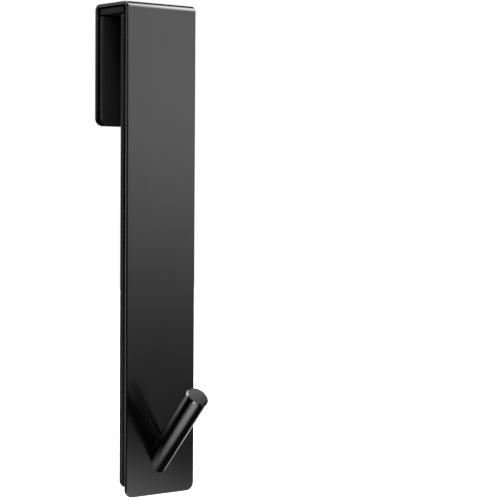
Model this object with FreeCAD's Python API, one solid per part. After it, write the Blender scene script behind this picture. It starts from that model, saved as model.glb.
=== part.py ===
import FreeCAD, Part

# Over door hook: a black coated steel strap, bent once over the top edge of a door, with a
# slanting peg welded to its long front leg. Rubber pads, each held by a strip of foam tape,
# line the inside of the bend, so that the steel never touches the door.
#
# Units are millimetres. The origin is the middle of the top pad's underside, where the hook
# sits on the door. +Z is up, the front of the hook faces -Y, and X runs across the strap.

import math
import os

from FreeCAD import Placement, Rotation, Vector

# Strap: one flat bar of even thickness
STRAP_WIDTH = 30.0
STRAP_THICKNESS = 1.4
FRONT_LEG_HEIGHT = 176.2        # from the top of the strap to the end of the front leg
BACK_LEG_HEIGHT = 43.7          # from the top of the strap to the end of the back leg
BEND_OUTER_RADIUS = 2.3         # both bends over the door
END_CORNER_RADIUS = 3.0         # the corners of both ends
STRAP_EDGE_ROUND = 0.4          # the long edges, rolled smooth before coating

# Door: the clear space left between the two rows of pads
DOOR_GAP = 11.2

# Pads and the tape behind them. The tape on the legs is thicker than the tape on top.
LEG_PAD_THICKNESS = 1.8
TOP_PAD_THICKNESS = 2.0
PAD_SIDE_INSET = 0.3            # from the strap's side edge to the pad's side
PAD_EDGE_ROUND = 0.2
PAD_TOP_CORNER_RADIUS = 0.8     # the leg pads' corners below the top pad
PAD_SEAM = 0.5                  # between the top pad and each leg pad
TOP_PAD_END_GAP = 1.8           # from each end of the top pad to the strap
FRONT_PAD_END_INSET = 3.2       # from the end of the front leg up to its pad
BACK_PAD_END_INSET = 0.0        # the back pad ends level with its leg
LEG_TAPE_THICKNESS = 1.6
TOP_TAPE_THICKNESS = 0.5
TAPE_SIDE_INSET = 0.5           # from the pad's side to the tape's side
TAPE_END_INSET = 0.5            # from each end of a pad to the end of its tape

# Peg: a round bar, cut slanting at its foot and chamfered at its tip
PEG_DIAMETER = 8.4
PEG_LENGTH = 32.3               # along its axis, from the strap's face to the tip
PEG_ANGLE = 43.0                # degrees between the peg and the strap's face
PEG_FOOT_HEIGHT = 14.0          # from the end of the front leg to the axis at the face
PEG_TIP_CHAMFER = 0.55

# Planes that the pieces share
TOP_INNER_Z = TOP_PAD_THICKNESS + TOP_TAPE_THICKNESS
TOP_OUTER_Z = TOP_INNER_Z + STRAP_THICKNESS
PAD_FACE_Y = DOOR_GAP / 2
LEG_INNER_Y = PAD_FACE_Y + LEG_PAD_THICKNESS + LEG_TAPE_THICKNESS
LEG_OUTER_Y = LEG_INNER_Y + STRAP_THICKNESS
FRONT_END_Z = TOP_OUTER_Z - FRONT_LEG_HEIGHT
BACK_END_Z = TOP_OUTER_Z - BACK_LEG_HEIGHT
PAD_WIDTH = STRAP_WIDTH - 2 * PAD_SIDE_INSET
TAPE_WIDTH = PAD_WIDTH - 2 * TAPE_SIDE_INSET

# Edges whose two faces turn by more than this are sharp
SHARP_ANGLE = 30.0


def face_normal_at(face, point):
    """Give a face's outward normal at a point that lies on it."""
    u, v = face.Surface.parameter(point)
    return face.normalAt(u, v)


def sharp_edges(shape):
    """List the edges where two faces of a solid meet at a real corner."""
    found = []
    for edge in shape.Edges:
        faces = shape.ancestorsOfType(edge, Part.Face)
        if len(faces) != 2:
            continue
        middle = edge.valueAt((edge.FirstParameter + edge.LastParameter) / 2)
        turn = face_normal_at(faces[0], middle).getAngle(face_normal_at(faces[1], middle))
        if math.degrees(turn) > SHARP_ANGLE:
            found.append(edge)
    return found


def edges_along(shape, axis, at_point_test):
    """List the straight edges parallel to an axis whose middle passes a test."""
    found = []
    for edge in shape.Edges:
        if not isinstance(edge.Curve, Part.Line):
            continue
        if edge.tangentAt(edge.FirstParameter).cross(axis).Length < 1e-6:
            if at_point_test(edge.CenterOfMass):
                found.append(edge)
    return found


def strap_section():
    """Draw the strap's side view in the YZ plane, as one closed wire of lines and arcs."""
    slant = math.sqrt(0.5)
    centre_y = LEG_OUTER_Y - BEND_OUTER_RADIUS
    centre_z = TOP_OUTER_Z - BEND_OUTER_RADIUS

    def bend(side, radius, reverse):
        points = [
            Vector(0, side * (centre_y + radius), centre_z),
            Vector(0, side * (centre_y + radius * slant), centre_z + radius * slant),
            Vector(0, side * centre_y, centre_z + radius),
        ]
        if reverse:
            points.reverse()
        return points

    inner_radius = BEND_OUTER_RADIUS - STRAP_THICKNESS
    outer_front = bend(-1, BEND_OUTER_RADIUS, False)
    outer_back = bend(1, BEND_OUTER_RADIUS, True)
    inner_back = bend(1, inner_radius, False)
    inner_front = bend(-1, inner_radius, True)
    front_outer_end = Vector(0, -LEG_OUTER_Y, FRONT_END_Z)
    front_inner_end = Vector(0, -LEG_INNER_Y, FRONT_END_Z)
    back_outer_end = Vector(0, LEG_OUTER_Y, BACK_END_Z)
    back_inner_end = Vector(0, LEG_INNER_Y, BACK_END_Z)
    return Part.Wire([
        Part.makeLine(front_outer_end, outer_front[0]),
        Part.Arc(*outer_front).toShape(),
        Part.makeLine(outer_front[2], outer_back[0]),
        Part.Arc(*outer_back).toShape(),
        Part.makeLine(outer_back[2], back_outer_end),
        Part.makeLine(back_outer_end, back_inner_end),
        Part.makeLine(back_inner_end, inner_back[0]),
        Part.Arc(*inner_back).toShape(),
        Part.makeLine(inner_back[2], inner_front[0]),
        Part.Arc(*inner_front).toShape(),
        Part.makeLine(inner_front[2], front_inner_end),
        Part.makeLine(front_inner_end, front_outer_end),
    ])


def make_strap():
    """Bend the bar over the door, round its ends' corners and ease its edges."""
    section = Part.Face(strap_section())
    section.translate(Vector(-STRAP_WIDTH / 2, 0, 0))
    strap = section.extrude(Vector(STRAP_WIDTH, 0, 0))

    def at_an_end(point):
        near_front_end = abs(point.z - FRONT_END_Z) < 1e-6
        near_back_end = abs(point.z - BACK_END_Z) < 1e-6
        return near_front_end or near_back_end

    corners = edges_along(strap, Vector(0, 1, 0), at_an_end)
    strap = strap.makeFillet(END_CORNER_RADIUS, corners)
    return strap.makeFillet(STRAP_EDGE_ROUND, sharp_edges(strap))


def make_peg():
    """Turn the chamfered bar, lean it out from the strap and cut its foot to the face."""
    radius = PEG_DIAMETER / 2
    lean = math.radians(PEG_ANGLE)
    foot_overrun = radius / math.tan(lean)
    outline = Part.makePolygon([
        Vector(0, 0, -foot_overrun),
        Vector(radius, 0, -foot_overrun),
        Vector(radius, 0, PEG_LENGTH - PEG_TIP_CHAMFER),
        Vector(radius - PEG_TIP_CHAMFER, 0, PEG_LENGTH),
        Vector(0, 0, PEG_LENGTH),
        Vector(0, 0, -foot_overrun),
    ])
    bar = Part.Face(outline).revolve(Vector(0, 0, 0), Vector(0, 0, 1), 360)
    foot = Vector(0, -LEG_OUTER_Y, FRONT_END_Z + PEG_FOOT_HEIGHT)
    bar.Placement = Placement(foot, Rotation(Vector(1, 0, 0), PEG_ANGLE))

    # Everything behind the strap's front face is cut away, which leaves the slanting foot.
    depth = PEG_DIAMETER + foot_overrun
    height = 2 * (PEG_LENGTH + depth)
    behind = Part.makeBox(2 * PEG_DIAMETER, depth, height)
    behind.translate(Vector(-PEG_DIAMETER, -LEG_OUTER_Y, foot.z - height / 2))
    return bar.cut(behind)


def make_plate(width, length, thickness, corner_radii):
    """Make a flat plate from the origin down to -length, centred on X, rising in +Y.

    corner_radii holds the radius at the upper corners, then at the lower ones.
    """
    plate = Part.makeBox(width, thickness, length)
    plate.translate(Vector(-width / 2, 0, -length))
    upper, lower = corner_radii
    for radius, level in ((upper, 0.0), (lower, -length)):
        if radius > 0:
            corners = edges_along(
                plate, Vector(0, 1, 0), lambda point: abs(point.z - level) < 1e-6)
            plate = plate.makeFillet(radius, corners)
    return plate


def round_face(shape, is_on_face, radius):
    """Round the border of one flat face of a solid."""
    for face in shape.Faces:
        if is_on_face(face):
            return shape.makeFillet(radius, face.OuterWire.Edges)
    return shape


def make_leg_pad(side, end_z, end_inset):
    """Make the pad on one leg: side is -1 at the front and 1 at the back."""
    length = -PAD_SEAM - (end_z + end_inset)
    pad = make_plate(
        PAD_WIDTH, length, LEG_PAD_THICKNESS,
        (PAD_TOP_CORNER_RADIUS, END_CORNER_RADIUS - PAD_SIDE_INSET))
    pad = round_face(pad, lambda face: face.normalAt(0, 0).y < -0.999, PAD_EDGE_ROUND)
    if side < 0:
        pad.rotate(Vector(0, 0, 0), Vector(0, 0, 1), 180)
    pad.translate(Vector(0, side * PAD_FACE_Y, -PAD_SEAM))
    return pad


def make_leg_tape(side, end_z, end_inset):
    """Make the tape between one leg and its pad."""
    start_z = -PAD_SEAM - TAPE_END_INSET
    length = start_z - (end_z + end_inset + TAPE_END_INSET)
    lower_radius = END_CORNER_RADIUS - PAD_SIDE_INSET - TAPE_SIDE_INSET
    tape = make_plate(TAPE_WIDTH, length, LEG_TAPE_THICKNESS, (0.0, lower_radius))
    if side < 0:
        tape.rotate(Vector(0, 0, 0), Vector(0, 0, 1), 180)
    tape.translate(Vector(0, side * (PAD_FACE_Y + LEG_PAD_THICKNESS), start_z))
    return tape


def make_top_pad():
    """Make the pad that rests on the door's top edge, with its lower border rounded."""
    length = 2 * (LEG_INNER_Y - TOP_PAD_END_GAP)
    pad = Part.makeBox(PAD_WIDTH, length, TOP_PAD_THICKNESS)
    pad.translate(Vector(-PAD_WIDTH / 2, -length / 2, 0))
    return round_face(pad, lambda face: face.normalAt(0, 0).z < -0.999, PAD_EDGE_ROUND)


def make_top_tape():
    """Make the tape between the top pad and the strap."""
    length = 2 * (LEG_INNER_Y - TOP_PAD_END_GAP - TAPE_END_INSET)
    tape = Part.makeBox(TAPE_WIDTH, length, TOP_TAPE_THICKNESS)
    tape.translate(Vector(-TAPE_WIDTH / 2, -length / 2, TOP_PAD_THICKNESS))
    return tape


def build_parts():
    """Make every piece of the hook, by name."""
    return {
        "strap": make_strap(),
        "peg": make_peg(),
        "top_pad": make_top_pad(),
        "front_pad": make_leg_pad(-1, FRONT_END_Z, FRONT_PAD_END_INSET),
        "back_pad": make_leg_pad(1, BACK_END_Z, BACK_PAD_END_INSET),
        "top_tape": make_top_tape(),
        "front_tape": make_leg_tape(-1, FRONT_END_Z, FRONT_PAD_END_INSET),
        "back_tape": make_leg_tape(1, BACK_END_Z, BACK_PAD_END_INSET),
    }


os.makedirs("parts", exist_ok=True)
for name, shape in build_parts().items():
    shape.exportStep("parts/" + name + ".step")
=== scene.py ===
"""Looks of an over door hook: black coated steel, rubber pads, foam tape and a plain studio.

The steel pieces are shown as they were packed and only get their finish here. The rubber pads
and the foam tape are surfaces made in this file, each in the place of the plain solid that it
stands for. Lengths are metres unless a name ends in _mm, and angles in fields are degrees.
"""

from __future__ import annotations

import logging
import math
from dataclasses import dataclass
from enum import Enum

import bmesh
import bpy
import numpy as np
from mathutils import Matrix, Vector


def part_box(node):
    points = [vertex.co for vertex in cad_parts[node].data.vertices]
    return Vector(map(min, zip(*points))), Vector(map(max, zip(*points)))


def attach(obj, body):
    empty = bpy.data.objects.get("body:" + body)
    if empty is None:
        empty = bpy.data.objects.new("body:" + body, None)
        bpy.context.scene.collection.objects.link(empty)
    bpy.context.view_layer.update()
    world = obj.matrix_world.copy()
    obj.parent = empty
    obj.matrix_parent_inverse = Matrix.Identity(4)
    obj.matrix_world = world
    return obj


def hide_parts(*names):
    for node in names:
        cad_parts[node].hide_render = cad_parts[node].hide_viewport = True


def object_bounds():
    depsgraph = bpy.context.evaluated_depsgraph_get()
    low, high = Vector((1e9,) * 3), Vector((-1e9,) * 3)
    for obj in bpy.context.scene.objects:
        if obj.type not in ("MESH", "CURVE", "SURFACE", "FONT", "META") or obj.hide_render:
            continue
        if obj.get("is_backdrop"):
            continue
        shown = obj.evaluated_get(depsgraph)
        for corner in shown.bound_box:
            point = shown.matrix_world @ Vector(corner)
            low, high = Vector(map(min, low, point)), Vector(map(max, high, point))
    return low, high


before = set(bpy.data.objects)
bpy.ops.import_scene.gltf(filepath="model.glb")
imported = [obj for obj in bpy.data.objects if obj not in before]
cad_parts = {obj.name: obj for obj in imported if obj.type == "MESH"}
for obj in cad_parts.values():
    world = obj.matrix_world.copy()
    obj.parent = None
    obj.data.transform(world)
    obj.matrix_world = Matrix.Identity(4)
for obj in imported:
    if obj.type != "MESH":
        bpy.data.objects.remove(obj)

LOG = logging.getLogger("over_door_hook")
BODY = "root"
MM = 0.001
MERGE_DISTANCE = 1e-7
SLIVER_LENGTH = 1e-8
WHITE = (1.0, 1.0, 1.0, 1.0)

Sockets = dict[str, bpy.types.NodeSocket]


class SteelNode(Enum):
    """The steel pieces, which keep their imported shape."""

    STRAP = "strap"
    PEG = "peg"


class Slot(Enum):
    """The record's material slots."""

    STEEL = "black_coated_steel"
    RUBBER = "black_rubber"
    TAPE = "foam_tape"


class Side(Enum):
    """The side of the bend that a strip lies on, with its bare face towards the door."""

    TOP = "top"
    FRONT_LEG = "front"
    BACK_LEG = "back"


class NodeGraph:
    """A thin wrapper that adds shader nodes to a tree and wires them."""

    def __init__(self, tree: bpy.types.NodeTree) -> None:
        """Keep the tree that is being filled.

        Args:
            tree: the node tree of a material, a light, a world or a group.
        """
        self.tree = tree

    def add(self, kind: str, **settings: object) -> bpy.types.Node:
        """Add a node and set its plain properties.

        Args:
            kind: the node's type name.
            settings: properties of the node, by name.

        Returns:
            The new node.
        """
        node = self.tree.nodes.new(kind)
        for name, value in settings.items():
            setattr(node, name, value)
        return node

    def link(self, source: bpy.types.NodeSocket, target: bpy.types.NodeSocket) -> None:
        """Wire one socket to another."""
        self.tree.links.new(source, target)

    def feed(self, target: bpy.types.NodeSocket, value: object) -> None:
        """Give a socket its input.

        Args:
            target: the input socket.
            value: a socket to link, or a plain value to set.
        """
        if isinstance(value, bpy.types.NodeSocket):
            self.link(value, target)
        else:
            target.default_value = value

    def maths(self, operation: str, *values: object) -> bpy.types.NodeSocket:
        """Add one operation on numbers.

        Args:
            operation: the Math node's operation.
            values: sockets or numbers, in order.

        Returns:
            The result's socket.
        """
        node = self.add("ShaderNodeMath", operation=operation)
        for socket, value in zip(node.inputs, values):
            self.feed(socket, value)
        return node.outputs["Value"]

    def vector_maths(self, operation: str, *values: object) -> bpy.types.Node:
        """Add one operation on vectors.

        Args:
            operation: the Vector Math node's operation.
            values: sockets or groups of three numbers, in order.

        Returns:
            The node, whose result is its Vector or its Value output.
        """
        node = self.add("ShaderNodeVectorMath", operation=operation)
        for socket, value in zip(node.inputs, values):
            self.feed(socket, value)
        return node

    def smooth_step(self, value: object, low: object, high: object,
                    to_low: float = 0.0, to_high: float = 1.0) -> bpy.types.NodeSocket:
        """Ease a value from one level to another as it goes from low to high.

        Args:
            value: the value that is read.
            low: where the easing starts.
            high: where it ends.
            to_low: the result at low.
            to_high: the result at high.

        Returns:
            The eased value's socket.
        """
        node = self.add("ShaderNodeMapRange", interpolation_type="SMOOTHSTEP")
        for name, source in (("Value", value), ("From Min", low), ("From Max", high),
                             ("To Min", to_low), ("To Max", to_high)):
            self.feed(node.inputs[name], source)
        return node.outputs["Result"]


def new_group(name: str, inputs: dict[str, tuple[str, object]],
              outputs: dict[str, str]) -> tuple[bpy.types.NodeTree, NodeGraph, Sockets, Sockets]:
    """Make an empty shader node group with named sockets.

    Args:
        name: the group's name.
        inputs: each input's socket type and default value, by name.
        outputs: each output's socket type, by name.

    Returns:
        The group, its graph, its input sockets and its output sockets, both by name.
    """
    group = bpy.data.node_groups.new(name, "ShaderNodeTree")
    for socket_name, (kind, default) in inputs.items():
        socket = group.interface.new_socket(socket_name, in_out="INPUT", socket_type=kind)
        if default is not None:
            socket.default_value = default
    for socket_name, kind in outputs.items():
        group.interface.new_socket(socket_name, in_out="OUTPUT", socket_type=kind)
    graph = NodeGraph(group)
    entry = {socket.name: socket for socket in graph.add("NodeGroupInput").outputs}
    leaving = {socket.name: socket for socket in graph.add("NodeGroupOutput").inputs}
    return group, graph, entry, leaving


def direction(azimuth: float, elevation: float) -> Vector:
    """Give the unit vector towards a point of the sky.

    Args:
        azimuth: degrees from the hook's front, growing towards its right side.
        elevation: degrees above the horizon.

    Returns:
        The unit vector in the hook's frame.
    """
    around = math.radians(azimuth)
    above = math.radians(elevation)
    return Vector((math.sin(around) * math.cos(above), -math.cos(around) * math.cos(above),
                   math.sin(above)))


class SurfaceGrain:
    """The shared group that gives a surface its fine grain and slow unevenness."""

    NAME = "surface_grain"
    GRAIN_OCTAVES = 3.0
    SWELL_OCTAVES = 1.0
    CLOUD_OCTAVES = 4.0
    CLOUD_LOW = 0.3
    CLOUD_HIGH = 0.7

    def __init__(self) -> None:
        """Build the group once.

        It reads a place on the piece, and puts out a height made of two noises, and a slow
        mask from 0 to 1 for colour and roughness.
        """
        self.group, graph, entry, leaving = new_group(
            self.NAME,
            {
                "Place": ("NodeSocketVector", None),
                "Grain scale": ("NodeSocketFloat", 900.0),
                "Grain share": ("NodeSocketFloat", 0.5),
                "Swell scale": ("NodeSocketFloat", 60.0),
                "Cloud scale": ("NodeSocketFloat", 30.0),
            },
            {"Height": "NodeSocketFloat", "Cloud": "NodeSocketFloat"},
        )
        grain = self._noise(graph, entry["Place"], entry["Grain scale"], self.GRAIN_OCTAVES)
        swell = self._noise(graph, entry["Place"], entry["Swell scale"], self.SWELL_OCTAVES)
        cloud = self._noise(graph, entry["Place"], entry["Cloud scale"], self.CLOUD_OCTAVES)
        fine = graph.maths("MULTIPLY", grain, entry["Grain share"])
        slow_share = graph.maths("SUBTRACT", 1.0, entry["Grain share"])
        slow = graph.maths("MULTIPLY", swell, slow_share)
        graph.link(graph.maths("ADD", fine, slow), leaving["Height"])
        mask = graph.smooth_step(cloud, self.CLOUD_LOW, self.CLOUD_HIGH)
        graph.link(mask, leaving["Cloud"])

    @staticmethod
    def _noise(graph: NodeGraph, place: bpy.types.NodeSocket, scale: bpy.types.NodeSocket,
               octaves: float) -> bpy.types.NodeSocket:
        """Add one noise texture.

        Args:
            graph: the group's graph.
            place: the coordinates it reads.
            scale: its scale.
            octaves: its number of octaves.

        Returns:
            The noise's value socket.
        """
        noise = graph.add("ShaderNodeTexNoise")
        graph.link(place, noise.inputs["Vector"])
        graph.link(scale, noise.inputs["Scale"])
        noise.inputs["Detail"].default_value = octaves
        return noise.outputs["Fac"]

    def place(self, graph: NodeGraph, place: bpy.types.NodeSocket,
              **values: float) -> bpy.types.Node:
        """Put the group in a material.

        Args:
            graph: the material's graph.
            place: the coordinates on the piece.
            values: the group's inputs, with underscores for the spaces in their names.

        Returns:
            The group's node.
        """
        node = graph.add("ShaderNodeGroup", node_tree=self.group)
        graph.link(place, node.inputs["Place"])
        for name, value in values.items():
            node.inputs[name.replace("_", " ").capitalize()].default_value = value
        return node


@dataclass(frozen=True)
class Finish:
    """A finish whose colour, roughness and relief vary a little over the surface.

    A slow mask takes the colour from dark to light and the roughness from smooth to rough.
    The relief is relief_mm high: grain_share of it is fine grain and the rest a slow swell.
    The three scales are those of the noises, as cells in a metre.
    """

    slot: Slot
    dark: tuple[float, float, float]
    light: tuple[float, float, float]
    smooth: float
    rough: float
    ior: float
    grain_scale: float
    grain_share: float
    swell_scale: float
    cloud_scale: float
    relief_mm: float

    def material(self, grain: SurfaceGrain) -> bpy.types.Material:
        """Build the finish as a node material on the piece's own coordinates.

        Args:
            grain: the shared group.

        Returns:
            The material, named after its slot.
        """
        material = bpy.data.materials.new(self.slot.value)
        material.use_nodes = True
        graph = NodeGraph(material.node_tree)
        shader = material.node_tree.nodes["Principled BSDF"]
        shader.inputs["IOR"].default_value = self.ior
        place = graph.add("ShaderNodeTexCoord").outputs["Object"]
        surface = grain.place(
            graph, place, grain_scale=self.grain_scale, grain_share=self.grain_share,
            swell_scale=self.swell_scale, cloud_scale=self.cloud_scale)
        colour = graph.add("ShaderNodeMix", data_type="RGBA")
        graph.link(surface.outputs["Cloud"], colour.inputs["Factor"])
        colour.inputs["A"].default_value = (*self.dark, 1.0)
        colour.inputs["B"].default_value = (*self.light, 1.0)
        graph.link(colour.outputs["Result"], shader.inputs["Base Color"])
        roughness = graph.smooth_step(
            surface.outputs["Cloud"], 0.0, 1.0, self.smooth, self.rough)
        graph.link(roughness, shader.inputs["Roughness"])
        relief = graph.add("ShaderNodeBump")
        relief.inputs["Strength"].default_value = 1.0
        relief.inputs["Distance"].default_value = self.relief_mm * MM
        graph.link(surface.outputs["Height"], relief.inputs["Height"])
        graph.link(relief.outputs["Normal"], shader.inputs["Normal"])
        return material


COATED_STEEL = Finish(
    slot=Slot.STEEL, dark=(0.0006, 0.0006, 0.0006), light=(0.001, 0.001, 0.001),
    smooth=0.14, rough=0.17, ior=1.5, grain_scale=1400.0, grain_share=0.35,
    swell_scale=220.0, cloud_scale=25.0, relief_mm=0.0012)
PAD_RUBBER = Finish(
    slot=Slot.RUBBER, dark=(0.012, 0.012, 0.0123), light=(0.016, 0.016, 0.0163),
    smooth=0.6, rough=0.72, ior=1.42, grain_scale=2600.0, grain_share=0.7,
    swell_scale=400.0, cloud_scale=120.0, relief_mm=0.03)
# Painted shade: the tape is a real layer, but its near-black colour and very weak sheen (IOR 1.12)
# make its lit sides read as the dark shaded gap between the strap and the pads.
TAPE_FOAM_PAINTED_SHADE = Finish(
    slot=Slot.TAPE, dark=(0.002, 0.002, 0.002), light=(0.004, 0.004, 0.004),
    smooth=0.85, rough=0.95, ior=1.12, grain_scale=3500.0, grain_share=0.6,
    swell_scale=900.0, cloud_scale=600.0, relief_mm=0.12)


@dataclass(frozen=True)
class StripKind:
    """What the three strips of one kind share: their names, finish and form.

    The plan's corners have the radius top_corner_mm on the strip across the top of the bend,
    and upper_corner_mm and lower_corner_mm at the two ends of a strip on a leg. round_mm is
    the radius of the bare face's border and back_round_mm of the glued face's. bulge_mm is
    how far the sides swell at their middle, dish_mm how far the middle of the bare face
    stands back, and ragged_mm how uneven the cut sides are.
    """

    node_ending: str
    piece_ending: str
    finish: Finish
    top_corner_mm: float
    upper_corner_mm: float
    lower_corner_mm: float
    round_mm: float
    back_round_mm: float
    bulge_mm: float = 0.0
    dish_mm: float = 0.0
    ragged_mm: float = 0.0


RUBBER_PADS = StripKind(
    node_ending="pad", piece_ending="rubber_pad", finish=PAD_RUBBER, top_corner_mm=0.25,
    upper_corner_mm=0.8, lower_corner_mm=2.7, round_mm=0.2, back_round_mm=0.1, dish_mm=0.02)
# The foam tapes carry the near-black finish that paints the shade of the gap between the strap and
# the pads.
FOAM_TAPES = StripKind(
    node_ending="tape", piece_ending="foam_tape", finish=TAPE_FOAM_PAINTED_SHADE, top_corner_mm=0.2,
    upper_corner_mm=0.2, lower_corner_mm=2.2, round_mm=0.12, back_round_mm=0.12,
    bulge_mm=-0.08, ragged_mm=0.05)


@dataclass(frozen=True)
class Strip:
    """One flat strip that stands for a plain solid: a rubber pad or a length of foam tape.

    Its methods work in millimetres. RING_CROWDING draws the rings on a face towards its
    border. Each of RAGGED_WAVES is a wave along the cut sides, in radians per millimetre,
    and its phase.
    """

    kind: StripKind
    side: Side

    CORNER_STEPS = 14
    SIDE_STEP_MM = 1.5
    ROUND_STEPS = 7
    SIDE_STEPS = 6
    FACE_STEPS = 12
    RING_CROWDING = 1.6
    RAGGED_WAVES = ((2.1, 0.3), (5.3, 1.7), (9.7, 4.1))

    @property
    def node(self) -> str:
        """Name the plain solid that the strip stands for."""
        return f"{self.side.value}_{self.kind.node_ending}"

    @property
    def piece(self) -> str:
        """Name the strip's own object."""
        return f"{self.side.value}_{self.kind.piece_ending}"

    @property
    def slot(self) -> Slot:
        """Give the material slot of the strip's finish."""
        return self.kind.finish.slot

    def build(self) -> bpy.types.Object:
        """Make the strip's closed mesh in the place of its solid.

        Returns:
            The new object, riding on the hook and standing for its node.
        """
        low, high = (np.array(corner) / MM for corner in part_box(self.node))
        width, depth, height = high - low
        length, thick = (depth, height) if self.side is Side.TOP else (height, depth)
        flat = self._closed_grid(width, length, thick)
        points = self._in_place(flat, (low + high) / 2, thick)
        piece = grid_object(self.piece, points * MM)
        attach(piece, BODY)
        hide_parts(self.node)
        self.slot.value
        return piece

    def _corner_radii(self) -> tuple[float, float]:
        """Give the plan's corner radius at the strip's upper and at its lower end.

        Returns:
            The two radii, which are the same on the strip across the top.
        """
        if self.side is Side.TOP:
            return self.kind.top_corner_mm, self.kind.top_corner_mm
        return self.kind.upper_corner_mm, self.kind.lower_corner_mm

    def _outline(self, width: float, length: float) -> tuple[np.ndarray, np.ndarray]:
        """Walk round the rounded rectangle of the strip's plan, at even steps.

        A corner is an arc of a quarter turn about its own centre, and a side is the straight
        run between two corners. The walk starts at the top of the right side and goes round
        by the upper end.

        Args:
            width: the strip's width.
            length: the strip's length.

        Returns:
            The outline's points and its outward normals, each with two columns.
        """
        upper, lower = self._corner_radii()
        arcs, turns = [], []
        plan_corners = ((1, 1, upper), (-1, 1, upper), (-1, -1, lower), (1, -1, lower))
        for quarter, (x_sign, y_sign, radius) in enumerate(plan_corners):
            angle = np.linspace(quarter / 2, (quarter + 1) / 2, self.CORNER_STEPS) * math.pi
            turn = np.stack([np.cos(angle), np.sin(angle)], axis=1)
            centre = np.array([x_sign * (width / 2 - radius), y_sign * (length / 2 - radius)])
            arcs.append(centre + radius * turn)
            turns.append(turn)
        points, normals = [], []
        for index, (arc, turn) in enumerate(zip(arcs, turns)):
            following = arcs[(index + 1) % len(arcs)][0]
            gap = np.linalg.norm(following - arc[-1])
            steps = max(2, int(gap / self.SIDE_STEP_MM))
            share = np.linspace(0.0, 1.0, steps + 1)[1:-1, None]
            points += [arc, arc[-1] * (1 - share) + following * share]
            normals += [turn, np.repeat(turn[-1:], steps - 1, axis=0)]
        return np.concatenate(points), np.concatenate(normals)

    def _section(self, thick: float) -> tuple[np.ndarray, np.ndarray, np.ndarray]:
        """Give the section from the middle of the bare face, over the side, to the glued face.

        Two quarter circles join the faces to the side, the side swells by a half sine, and
        the bare face is dished by a quarter sine.

        Args:
            thick: the strip's thickness.

        Returns:
            For each ring: how far it lies inside the outline, its height from the bare face,
            and its share of the way from the border in to the middle line.
        """
        kind = self.kind
        inward = np.linspace(1.0, 0.0, self.FACE_STEPS) ** self.RING_CROWDING
        quarter = np.linspace(0.0, 0.5 * math.pi, self.ROUND_STEPS)
        bare_inset = kind.round_mm * (1 - np.sin(quarter))
        bare_height = kind.round_mm * (1 - np.cos(quarter))
        rise = np.linspace(0.0, 1.0, self.SIDE_STEPS + 2)[1:-1]
        side_length = thick - kind.round_mm - kind.back_round_mm
        side_inset = -kind.bulge_mm * np.sin(rise * math.pi)
        side_height = kind.round_mm + rise * side_length
        back_inset = kind.back_round_mm * (1 - np.cos(quarter))
        back_height = thick - kind.back_round_mm * (1 - np.sin(quarter))
        face_rings = inward[:-1]
        inset = np.concatenate([
            np.full(face_rings.size, kind.round_mm), bare_inset, side_inset, back_inset,
            np.full(face_rings.size, kind.back_round_mm)])
        level = np.concatenate([
            kind.dish_mm * np.sin(face_rings * math.pi / 2), bare_height, side_height,
            back_height, np.full(face_rings.size, thick)])
        border = np.zeros(bare_inset.size + side_inset.size + back_inset.size)
        share = np.concatenate([face_rings, border, face_rings[::-1]])
        return inset, level, share

    def _closed_grid(self, width: float, length: float, thick: float) -> np.ndarray:
        """Work out the strip lying flat: plan in the first two columns, height in the third.

        Each ring is the outline moved in along its normal, then drawn by its share towards
        the nearest point of the plan's middle line. On the cut sides the mean of a few sine
        waves along the outline is added to the move.

        Args:
            width: the strip's width.
            length: the strip's length.
            thick: the strip's thickness.

        Returns:
            An array of rings by points by three.
        """
        outline, normal = self._outline(width, length)
        inset, level, share = self._section(thick)
        run = np.cumsum(np.linalg.norm(np.roll(outline, -1, axis=0) - outline, axis=1))
        waves = sum(np.sin(run * rate + phase) for rate, phase in self.RAGGED_WAVES)
        unevenness = self.kind.ragged_mm * waves / len(self.RAGGED_WAVES)
        on_side = (share == 0)[:, None]
        moved = (inset[:, None] + np.where(on_side, unevenness[None, :], 0.0))[..., None]
        rings = outline[None] - normal[None] * moved
        along_reach = max(0.0, (length - width) / 2)
        along = np.clip(outline[:, 1], -along_reach, along_reach)
        across_reach = max(0.0, (width - length) / 2)
        across = np.clip(outline[:, 0], -across_reach, across_reach)
        middle = np.stack([across, along], axis=1)[None]
        plan = rings * (1 - share[:, None, None]) + middle * share[:, None, None]
        heights = np.broadcast_to(level[:, None], plan.shape[:2])
        return np.concatenate([plan, heights[..., None]], axis=2)

    def _in_place(self, flat: np.ndarray, centre: np.ndarray, thick: float) -> np.ndarray:
        """Turn the flat strip to face the door and move it to its solid's place.

        Args:
            flat: the lying strip.
            centre: the middle of the solid's box.
            thick: the strip's thickness.

        Returns:
            The points in the hook's frame.
        """
        across, along, deep = flat[..., 0], flat[..., 1], flat[..., 2] - thick / 2
        if self.side is Side.TOP:
            placed = np.stack([across, along, deep], axis=2)
        elif self.side is Side.BACK_LEG:
            placed = np.stack([across, deep, along], axis=2)
        else:
            placed = np.stack([-across, -deep, along], axis=2)
        return placed + centre


def grid_object(name: str, rings: np.ndarray) -> bpy.types.Object:
    """Make a closed smooth mesh of a grid whose rings are closed and whose ends are lines.

    Each face joins two neighbours on one ring to the same two on the next.

    Args:
        name: the object's name.
        rings: an array of rings by points by three, in metres.

    Returns:
        The new object, linked to the scene.
    """
    ring_count, point_count, _ = rings.shape
    ring, point = np.meshgrid(np.arange(ring_count - 1), np.arange(point_count), indexing="ij")
    after = (point + 1) % point_count
    faces = np.stack([
        ring * point_count + point, ring * point_count + after,
        (ring + 1) * point_count + after, (ring + 1) * point_count + point], axis=-1)
    mesh = bpy.data.meshes.new(name)
    mesh.from_pydata(rings.reshape(-1, 3).tolist(), [], faces.reshape(-1, 4).tolist())
    close_and_turn_outwards(mesh)
    mesh.shade_smooth()
    piece = bpy.data.objects.new(name, mesh)
    bpy.context.scene.collection.objects.link(piece)
    return piece


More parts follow.
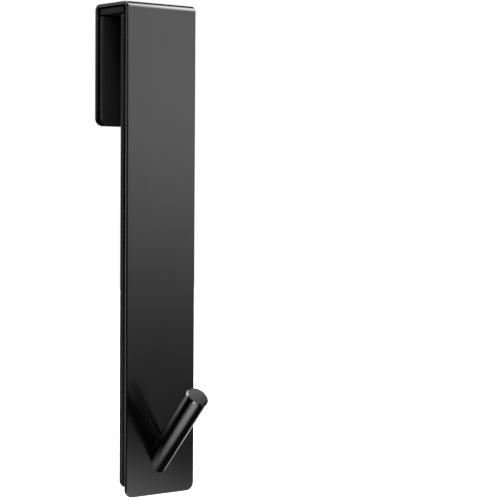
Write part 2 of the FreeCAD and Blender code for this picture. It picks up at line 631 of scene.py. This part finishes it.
def close_and_turn_outwards(mesh: bpy.types.Mesh) -> None:
    """Merge the points that meet on the middle line and turn every face outwards.

    Args:
        mesh: the mesh that is changed.
    """
    work = bmesh.new()
    work.from_mesh(mesh)
    bmesh.ops.remove_doubles(work, verts=work.verts, dist=MERGE_DISTANCE)
    bmesh.ops.dissolve_degenerate(work, edges=work.edges, dist=SLIVER_LENGTH)
    bmesh.ops.recalc_face_normals(work, faces=work.faces)
    work.to_mesh(mesh)
    work.free()


def paint(piece: bpy.types.Object, material: bpy.types.Material) -> None:
    """Give every material slot of a piece one material.

    Args:
        piece: the piece, which gets a slot if it has none.
        material: the finish.
    """
    if not piece.material_slots:
        piece.data.materials.append(material)
    for slot in piece.material_slots:
        slot.material = material


@dataclass(frozen=True)
class SteelWork:
    """The bent strap and the peg welded to it, coated together."""

    finish: Finish = COATED_STEEL

    def dress(self, grain: SurfaceGrain) -> None:
        """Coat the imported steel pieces.

        Args:
            grain: the shared group that the finish uses.
        """
        material = self.finish.material(grain)
        for steel in SteelNode:
            paint(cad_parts[steel.value], material)
            LOG.info("coated %s", steel.value)


@dataclass(frozen=True)
class Lining:
    """The strips inside the bend: the rubber pads and the foam tape that holds them, whose
    near-black finish also paints the shade of the gap.
    """

    kinds: tuple[StripKind, ...] = (RUBBER_PADS, FOAM_TAPES)

    def build(self, grain: SurfaceGrain) -> None:
        """Lay a strip of each kind on each side of the bend and give it its finish.

        Args:
            grain: the shared group that the finishes use.
        """
        for kind in self.kinds:
            material = kind.finish.material(grain)
            for side in Side:
                strip = Strip(kind, side)
                paint(strip.build(), material)
                LOG.info("laid %s in the place of %s", strip.piece, strip.node)


@dataclass(frozen=True)
class SoftLight:
    """One soft rectangle of light in the studio sky, as seen from the hook.

    Its sides are eased over softness inwards and outwards of its half sizes. radiance is the
    strength at its middle.
    """

    name: str
    azimuth: float
    elevation: float
    half_width: float
    half_height: float
    softness: float
    radiance: float


# Most lights are named for their place round the hook, and peg_rim for the edge that mirrors it.
SOFT_LIGHTS = (
    SoftLight("front_wall", azimuth=37.0, elevation=12.0, half_width=11.0, half_height=13.85,
              softness=5.15, radiance=2.33),
    SoftLight("front_wall_foot", azimuth=37.0, elevation=-6.0, half_width=11.0,
              half_height=12.0, softness=3.0, radiance=0.2),
    SoftLight("front", azimuth=-12.0, elevation=10.5, half_width=15.0, half_height=5.5,
              softness=3.0, radiance=6.0),
    SoftLight("top_back", azimuth=-170.0, elevation=57.0, half_width=34.0, half_height=9.0,
              softness=5.0, radiance=4.8),
    SoftLight("left_back", azimuth=-161.0, elevation=0.0, half_width=17.5, half_height=11.0,
              softness=2.5, radiance=1.1),
    SoftLight("low_right_back", azimuth=124.0, elevation=-26.0, half_width=12.0,
              half_height=9.0, softness=4.0, radiance=1.25),
    SoftLight("below", azimuth=-84.0, elevation=-67.0, half_width=17.0, half_height=17.0,
              softness=13.0, radiance=0.3),
    SoftLight("back", azimuth=172.0, elevation=19.0, half_width=18.0, half_height=22.0,
              softness=6.0, radiance=1.0),
    SoftLight("overhead", azimuth=0.0, elevation=90.0, half_width=25.0, half_height=25.0,
              softness=6.0, radiance=8.0),
    SoftLight("peg_rim", azimuth=-30.0, elevation=17.5, half_width=5.0, half_height=4.0,
              softness=2.0, radiance=14.0),
    SoftLight("behind_low", azimuth=147.0, elevation=-17.0, half_width=14.0, half_height=8.0,
              softness=6.0, radiance=1.0),
)


class StudioSky:
    """The studio around the hook: white to the camera, soft lights to every surface."""

    BASE_RADIANCE = 0.02
    BACKGROUND_RADIANCE = 1.0

    def build(self) -> None:
        """Make the world and set how its colours are shown."""
        world = bpy.data.worlds.new("studio_sky")
        world.use_nodes = True
        bpy.context.scene.world = world
        graph = NodeGraph(world.node_tree)
        world.node_tree.nodes.clear()
        looking = graph.add("ShaderNodeTexCoord").outputs["Generated"]
        patch = self._patch_group()
        total = self._place_patch(graph, patch, looking, SOFT_LIGHTS[0])
        for light in SOFT_LIGHTS[1:]:
            total = graph.maths("ADD", total, self._place_patch(graph, patch, looking, light))
        lit = graph.add("ShaderNodeBackground")
        lit.inputs["Color"].default_value = WHITE
        graph.link(graph.maths("ADD", total, self.BASE_RADIANCE), lit.inputs["Strength"])
        seen = graph.add("ShaderNodeBackground")
        seen.inputs["Color"].default_value = WHITE
        seen.inputs["Strength"].default_value = self.BACKGROUND_RADIANCE
        choose = graph.add("ShaderNodeMixShader")
        graph.link(graph.add("ShaderNodeLightPath").outputs["Is Camera Ray"], choose.inputs[0])
        graph.link(lit.outputs["Background"], choose.inputs[1])
        graph.link(seen.outputs["Background"], choose.inputs[2])
        sky = graph.add("ShaderNodeOutputWorld")
        graph.link(choose.outputs["Shader"], sky.inputs["Surface"])
        view = bpy.context.scene.view_settings
        view.view_transform = "Standard"
        view.look = "None"
        LOG.info("built the studio sky with %d soft lights", len(SOFT_LIGHTS))

    @staticmethod
    def _patch_group() -> bpy.types.NodeTree:
        """Build the group that draws one soft rectangle of light in a direction.

        The direction is turned into an angle sideways and an angle upwards from the patch's
        middle, and each is eased to nothing outside the patch's half size.

        Returns:
            The group.
        """
        group, graph, entry, leaving = new_group(
            "soft_patch",
            {
                "Looking": ("NodeSocketVector", None),
                "Middle": ("NodeSocketVector", (0.0, 0.0, 1.0)),
                "Side": ("NodeSocketVector", (1.0, 0.0, 0.0)),
                "Up": ("NodeSocketVector", (0.0, 1.0, 0.0)),
                "Half width": ("NodeSocketFloat", 0.3),
                "Half height": ("NodeSocketFloat", 0.3),
                "Softness": ("NodeSocketFloat", 0.1),
                "Radiance": ("NodeSocketFloat", 1.0),
            },
            {"Radiance": "NodeSocketFloat"},
        )
        looking = entry["Looking"]
        ahead = graph.vector_maths("DOT_PRODUCT", looking, entry["Middle"]).outputs["Value"]
        shares = []
        for axis, half in (("Side", "Half width"), ("Up", "Half height")):
            off = graph.vector_maths("DOT_PRODUCT", looking, entry[axis]).outputs["Value"]
            angle = graph.maths("ABSOLUTE", graph.maths("ARCTAN2", off, ahead))
            inner = graph.maths("SUBTRACT", entry[half], entry["Softness"])
            outer = graph.maths("ADD", entry[half], entry["Softness"])
            shares.append(graph.smooth_step(angle, inner, outer, 1.0, 0.0))
        both = graph.maths("MULTIPLY", *shares)
        graph.link(graph.maths("MULTIPLY", both, entry["Radiance"]), leaving["Radiance"])
        return group

    @staticmethod
    def _place_patch(graph: NodeGraph, patch: bpy.types.NodeTree,
                     looking: bpy.types.NodeSocket, light: SoftLight) -> bpy.types.NodeSocket:
        """Put one soft light in the sky.

        Args:
            graph: the world's graph.
            patch: the group that draws a patch.
            looking: the direction that is shaded.
            light: the light's place, size and radiance.

        Returns:
            The light's radiance socket.
        """
        node = graph.add("ShaderNodeGroup", node_tree=patch)
        graph.link(looking, node.inputs["Looking"])
        node.inputs["Middle"].default_value = direction(light.azimuth, light.elevation)
        node.inputs["Side"].default_value = direction(light.azimuth + 90.0, 0.0)
        node.inputs["Up"].default_value = direction(light.azimuth, light.elevation + 90.0)
        node.inputs["Half width"].default_value = math.radians(light.half_width)
        node.inputs["Half height"].default_value = math.radians(light.half_height)
        node.inputs["Softness"].default_value = math.radians(light.softness)
        node.inputs["Radiance"].default_value = light.radiance
        return node.outputs["Radiance"]


@dataclass(frozen=True)
class PaleFloor:
    """A plain pale floor some way below the hanging hook, which neither lights nor mirrors in it."""

    drop: float = 0.35
    half_size: float = 6.0
    colour: tuple[float, float, float] = (0.86, 0.86, 0.85)
    roughness: float = 0.9

    def build(self) -> None:
        """Lay the floor as one square face that looks up."""
        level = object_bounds()[0].z - self.drop
        reach = self.half_size
        square = [(-reach, -reach, level), (reach, -reach, level),
                  (reach, reach, level), (-reach, reach, level)]
        mesh = bpy.data.meshes.new("floor")
        mesh.from_pydata(square, [], [(0, 1, 2, 3)])
        floor = bpy.data.objects.new("floor", mesh)
        bpy.context.scene.collection.objects.link(floor)
        material = bpy.data.materials.new("pale_floor")
        material.use_nodes = True
        shader = material.node_tree.nodes["Principled BSDF"]
        shader.inputs["Base Color"].default_value = (*self.colour, 1.0)
        shader.inputs["Roughness"].default_value = self.roughness
        mesh.materials.append(material)
        floor.visible_glossy = False
        floor.visible_diffuse = False
        floor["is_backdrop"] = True
        LOG.info("laid the floor at %.3f m", level)


@dataclass(frozen=True)
class NearLight:
    """A small card of light near the hook, brightest at its middle and unseen by the camera.

    The card is an ellipse. Its lit side looks from its place at its aim, and its width runs
    along the direction across. CARD_MIDDLE is the middle in the card's own coordinates, which
    run from 0 to 1, and RADII_IN_CARD is how many of its half sizes they cover.
    """

    name: str
    place: tuple[float, float, float]
    aim: tuple[float, float, float]
    across: tuple[float, float, float]
    width: float
    height: float
    radiance: float

    CARD_MIDDLE = (0.5, 0.5, 0.0)
    RADII_IN_CARD = (2.0, 2.0, 0.0)

    def build(self) -> None:
        """Place the card and let its light fade to nothing at its rim."""
        data = bpy.data.lights.new(self.name, "AREA")
        data.shape = "ELLIPSE"
        data.size = self.width
        data.size_y = self.height
        area = self.width * self.height * math.pi / 4
        data.energy = self.radiance * math.pi * area
        self._fade(data)
        away = (Vector(self.place) - Vector(self.aim)).normalized()
        upwards = away.cross(Vector(self.across)).normalized()
        sideways = upwards.cross(away)
        card = bpy.data.objects.new(self.name, data)
        turned = Matrix((sideways, upwards, away)).transposed().to_4x4()
        card.matrix_world = Matrix.Translation(Vector(self.place)) @ turned
        card.visible_camera = False
        bpy.context.scene.collection.objects.link(card)
        LOG.info("placed the light %s", self.name)

    def _fade(self, data: bpy.types.Light) -> None:
        """Ease the light from full at the card's middle to none at its rim.

        Args:
            data: the light that gets the nodes.
        """
        data.use_nodes = True
        graph = NodeGraph(data.node_tree)
        on_card = graph.add("ShaderNodeNewGeometry").outputs["Parametric"]
        from_middle = graph.vector_maths("SUBTRACT", on_card, self.CARD_MIDDLE)
        in_radii = graph.vector_maths("MULTIPLY", from_middle.outputs["Vector"], self.RADII_IN_CARD)
        reach = graph.vector_maths("LENGTH", in_radii.outputs["Vector"])
        strength = graph.smooth_step(reach.outputs["Value"], 0.0, 1.0, 1.0, 0.0)
        graph.link(strength, data.node_tree.nodes["Emission"].inputs["Strength"])


# key_card is the main light. The others are named for what they light or where they stand.
NEAR_LIGHTS = (
    NearLight(
        "key_card", place=(0.1231, -0.0878, 0.1309), aim=(0.0, -0.0097, 0.0032),
        across=(-0.049, 0.831, 0.555), width=0.244, height=0.15, radiance=16.0),
    NearLight(
        "below_card", place=(-0.0415, -0.0489, -0.2223), aim=(-0.001, -0.027, -0.145),
        across=(0.347, 0.839, -0.419), width=0.103, height=0.174, radiance=4.85),
    NearLight(
        "low_front_card", place=(0.0243, -0.0986, -0.2214), aim=(-0.013, -0.0104, -0.168),
        across=(0.921, 0.389, 0.0), width=0.18, height=0.132, radiance=3.9),
    NearLight(
        "rim_card", place=(0.113, -0.078, -0.217), aim=(0.008, -0.0104, -0.160),
        across=(0.53, 0.85, 0.0), width=0.10, height=0.09, radiance=12.5),
    NearLight(
        "crook_card", place=(-0.0115, -0.0112, -0.134), aim=(-0.0115, -0.030, -0.134),
        across=(1.0, 0.0, 0.0), width=0.022, height=0.044, radiance=1.0),
    NearLight(
        "tip_card", place=(-0.0062, -0.0262, -0.1255), aim=(-0.0035, -0.0305, -0.1345),
        across=(1.0, 0.0, 0.0), width=0.023, height=0.020, radiance=7.4),
    NearLight(
        "end_card", place=(0.046, -0.0319, -0.0949), aim=(0.046, -0.0822, -0.1814),
        across=(1.0, 0.0, 0.0), width=0.07, height=0.0165, radiance=2.5),
)


@dataclass(frozen=True)
class PhotoCamera:
    """The camera at the photograph's place, fitted to the hook's edges.

    The camera looks from an azimuth and a height angle, is rolled a little, and stands at a
    distance from the middle of the strap's front top edge, moved aside and up by offsets.
    """

    azimuth: float = -38.925
    pitch: float = 1.991
    roll: float = 0.357
    distance: float = 0.61697
    aside: float = 0.03123
    upwards: float = -0.08808
    lens_mm: float = 124.46
    sensor_mm: float = 36.0
    nearest_seen: float = 0.01
    farthest_seen: float = 50.0

    def build(self) -> None:
        """Place the camera and make it the scene's own."""
        low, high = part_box(SteelNode.STRAP.value)
        target = Vector(((low.x + high.x) / 2, low.y, high.z))
        back = direction(self.azimuth, self.pitch)
        level_right = direction(self.azimuth + 90.0, 0.0)
        level_up = back.cross(level_right)
        turn = math.radians(self.roll)
        right = level_right * math.cos(turn) + level_up * math.sin(turn)
        up = level_up * math.cos(turn) - level_right * math.sin(turn)
        place = target + right * self.aside + up * self.upwards + back * self.distance
        data = bpy.data.cameras.new("photo_camera")
        data.lens = self.lens_mm
        data.sensor_width = self.sensor_mm
        data.clip_start = self.nearest_seen
        data.clip_end = self.farthest_seen
        camera = bpy.data.objects.new("photo_camera", data)
        turned = Matrix((right, up, back)).transposed().to_4x4()
        camera.matrix_world = Matrix.Translation(place) @ turned
        bpy.context.scene.collection.objects.link(camera)
        bpy.context.scene.camera = camera
        LOG.info("placed the camera at %.3f, %.3f, %.3f m", *place)


def main() -> None:
    """Dress the hook, then build the studio round it."""
    logging.basicConfig(level=logging.INFO, format="%(name)s: %(message)s")
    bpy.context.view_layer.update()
    grain = SurfaceGrain()
    SteelWork().dress(grain)
    Lining().build(grain)
    PaleFloor().build()
    StudioSky().build()
    for card in NEAR_LIGHTS:
        card.build()
    PhotoCamera().build()


if __name__ == "__main__":
    main()
